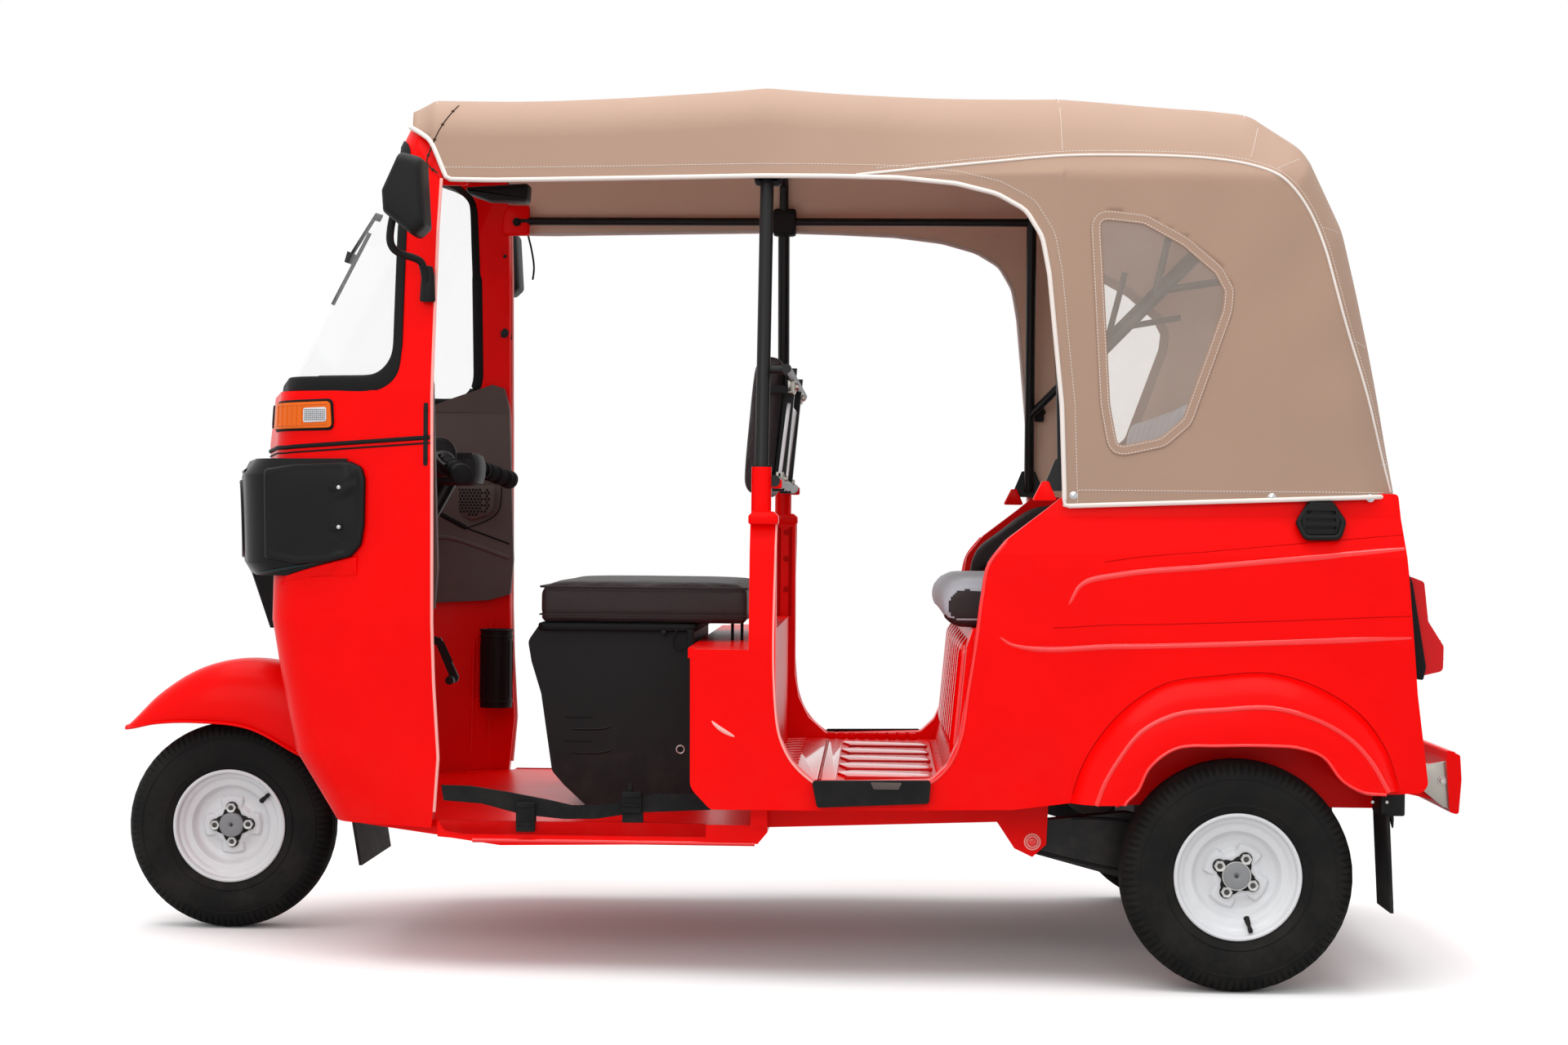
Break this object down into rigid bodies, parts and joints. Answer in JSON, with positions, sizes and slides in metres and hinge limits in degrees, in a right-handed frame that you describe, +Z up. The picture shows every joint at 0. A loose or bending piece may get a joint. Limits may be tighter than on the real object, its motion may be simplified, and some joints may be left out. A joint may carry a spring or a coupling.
{
  "type": "auto rickshaw",
  "caption": "Three-wheeled passenger taxi with a steel cab, fabric hood, driver's seat, rear bench and a steered front wheel.",
  "frame": {"origin": "on the ground under the middle of the overall length and width", "axes": "+Z up, -X towards the nose, -Y towards the near (left) side"},
  "size_m": [2.674, 1.38, 1.7219],
  "materials": {
    "red_paint": "gloss",
    "black_gloss": "gloss",
    "black_plastic": "matte",
    "black_tube": "satin",
    "trim_plastic": "matte",
    "rubber": "matte",
    "tyre": "matte",
    "wheel_paint": "gloss",
    "cast_metal": "matte",
    "chrome": "polished",
    "screen_glass": "clear",
    "window_film": "clear",
    "amber_lens": "gloss",
    "red_lens": "gloss",
    "lamp_glass": "clear",
    "dark_leather": "satin",
    "hood_vinyl": "matte"
  },
  "bodies": {
    "body": {"front_cowl": "red_paint", "windscreen": "screen_glass", "windscreen_rubber": "rubber", "front_bulkhead": "red_paint", "headlamp_mask": "black_gloss", "headlamps": "lamp_glass", "turn_lamps": "amber_lens", "mirrors": "black_plastic", "wiper": "black_tube", "dash_trim": "trim_plastic", "brake_pedal": "black_tube", "bottle_holder": "black_plastic", "sill_rail": "rubber", "driver_floor": "red_paint", "driver_partition": "red_paint", "left_quarter_panel": "red_paint", "right_quarter_panel": "red_paint", "rear_panel": "red_paint", "passenger_floor": "red_paint", "passenger_bulkhead": "red_paint", "wheel_houses": "red_paint", "side_vents": "black_plastic", "step_plates": "rubber", "side_members": "red_paint", "driver_seat_base": "black_plastic", "driver_seat": "dark_leather", "driver_backrest": "dark_leather", "backrest_bars": "black_tube", "passenger_seat": "dark_leather", "passenger_backrest": "dark_leather", "side_trim": "dark_leather", "hood_cover": "hood_vinyl", "hood_windows": "window_film", "hood_poles": "black_tube", "hood_rails": "black_tube", "hood_bows": "black_tube", "hood_stays": "black_tube", "tail_lamps": "red_lens", "rear_bumper": "red_paint", "mud_flaps": "rubber", "engine_block": "cast_metal", "muffler": "cast_metal", "trailing_arms": "black_tube", "shock_absorbers": "black_tube", "drive_shafts": "cast_metal"},
    "steering": {"front_fender": "red_paint", "front_fork": "black_tube", "handlebar": "black_plastic"},
    "front_wheel": {"front_tyre": "tyre", "front_rim": "wheel_paint"},
    "rear_left_wheel": {"rear_left_tyre": "tyre", "rear_left_rim": "wheel_paint"},
    "rear_right_wheel": {"rear_right_tyre": "tyre", "rear_right_rim": "wheel_paint"},
    "lid": {"engine_lid": "red_paint"}
  },
  "joints": [
    {"name": "steer", "type": "hinge", "parent": "body", "child": "steering", "pos_m": [-1.185, 0, 0], "axis": [0.4798, 0, 0.8774], "range_deg": [-45, 45]},
    {"name": "front_spin", "type": "hinge", "parent": "steering", "child": "front_wheel", "pos_m": [-1.115, 0, 0.213], "axis": [0, 1, 0], "continuous": true},
    {"name": "rear_left_spin", "type": "hinge", "parent": "body", "child": "rear_left_wheel", "pos_m": [0.885, -0.575, 0.213], "axis": [0, 1, 0], "continuous": true},
    {"name": "rear_right_spin", "type": "hinge", "parent": "body", "child": "rear_right_wheel", "pos_m": [0.885, 0.575, 0.213], "axis": [0, 1, 0], "continuous": true},
    {"name": "lid_hinge", "type": "hinge", "parent": "body", "child": "lid", "pos_m": [1.193, 0, 0.849], "axis": [0, -1, 0], "range_deg": [0, 80]}
  ]
}
